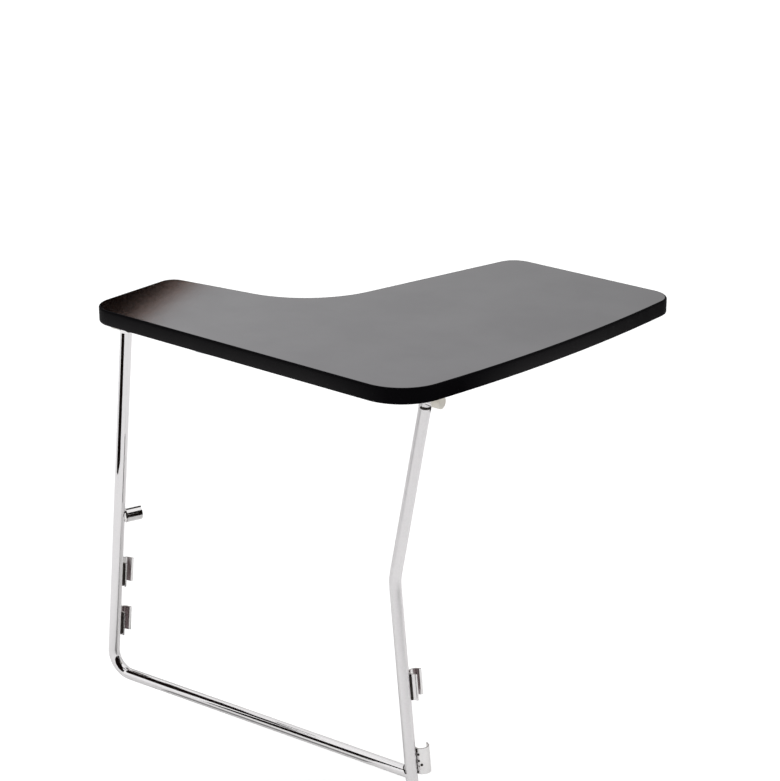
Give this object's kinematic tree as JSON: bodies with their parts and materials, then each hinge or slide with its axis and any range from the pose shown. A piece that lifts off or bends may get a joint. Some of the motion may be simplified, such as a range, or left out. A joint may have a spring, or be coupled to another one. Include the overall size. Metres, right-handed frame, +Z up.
{
  "type": "clip-on chair writing tablet",
  "caption": "Right-hand writing tablet on a chromed rod frame that clips onto the legs of a rod-frame chair; the tablet folds up about a rail under its outer edge.",
  "frame": {"origin": "on the axis of the cross rod clip, at the middle of the clip's length", "axes": "+X to the front of the chair along the hinge rail, +Y level to the sitter, +Z up"},
  "size_m": [0.478, 0.4056, 0.4406],
  "materials": {
    "chromed_steel_rod": "bright chrome plate",
    "chromed_spring_sheet": "bright chrome plate",
    "zinc_plated_strap": "zinc plate",
    "zinc_plated_screw": "zinc plate",
    "pale_plug": "moulded satin",
    "black_rubber": "moulded matt",
    "nylon_bush": "moulded",
    "chipboard_core": "pressed chips",
    "black_laminate": "satin laminate",
    "white_backing": "matt backing laminate",
    "black_edge_moulding": "smooth extruded"
  },
  "bodies": {
    "frame": {"rear_leg_and_base_bar": "chromed_steel_rod", "front_leg": "chromed_steel_rod", "hinge_rail": "chromed_steel_rod", "rail_front_plug": "pale_plug", "rail_rear_plug": "pale_plug", "cross_rod_clip": "chromed_spring_sheet", "rear_leg_clip_upper": "chromed_spring_sheet", "rear_leg_clip_lower": "chromed_spring_sheet", "front_leg_clip_upper": "chromed_spring_sheet", "front_leg_clip_lower": "chromed_spring_sheet", "support_loop": "chromed_steel_rod", "support_sleeve_front": "black_rubber", "support_sleeve_inner": "black_rubber", "support_sleeve_rear": "black_rubber"},
    "tablet": {"tablet_core": "chipboard_core", "top_laminate": "black_laminate", "backing_sheet": "white_backing", "edge_band": "black_edge_moulding", "front_saddle_strap": "zinc_plated_strap", "rear_saddle_strap": "zinc_plated_strap", "front_saddle_bush": "nylon_bush", "rear_saddle_bush": "nylon_bush", "front_strap_screws": "zinc_plated_screw", "rear_strap_screws": "zinc_plated_screw", "front_fold_buffer": "black_rubber", "rear_fold_buffer": "black_rubber"}
  },
  "joints": [
    {"name": "tablet_fold", "type": "hinge", "parent": "frame", "child": "tablet", "pos_m": [0, -0.01379, 0.2137], "axis": [1, 0, 0], "range_deg": [0, 90]}
  ]
}
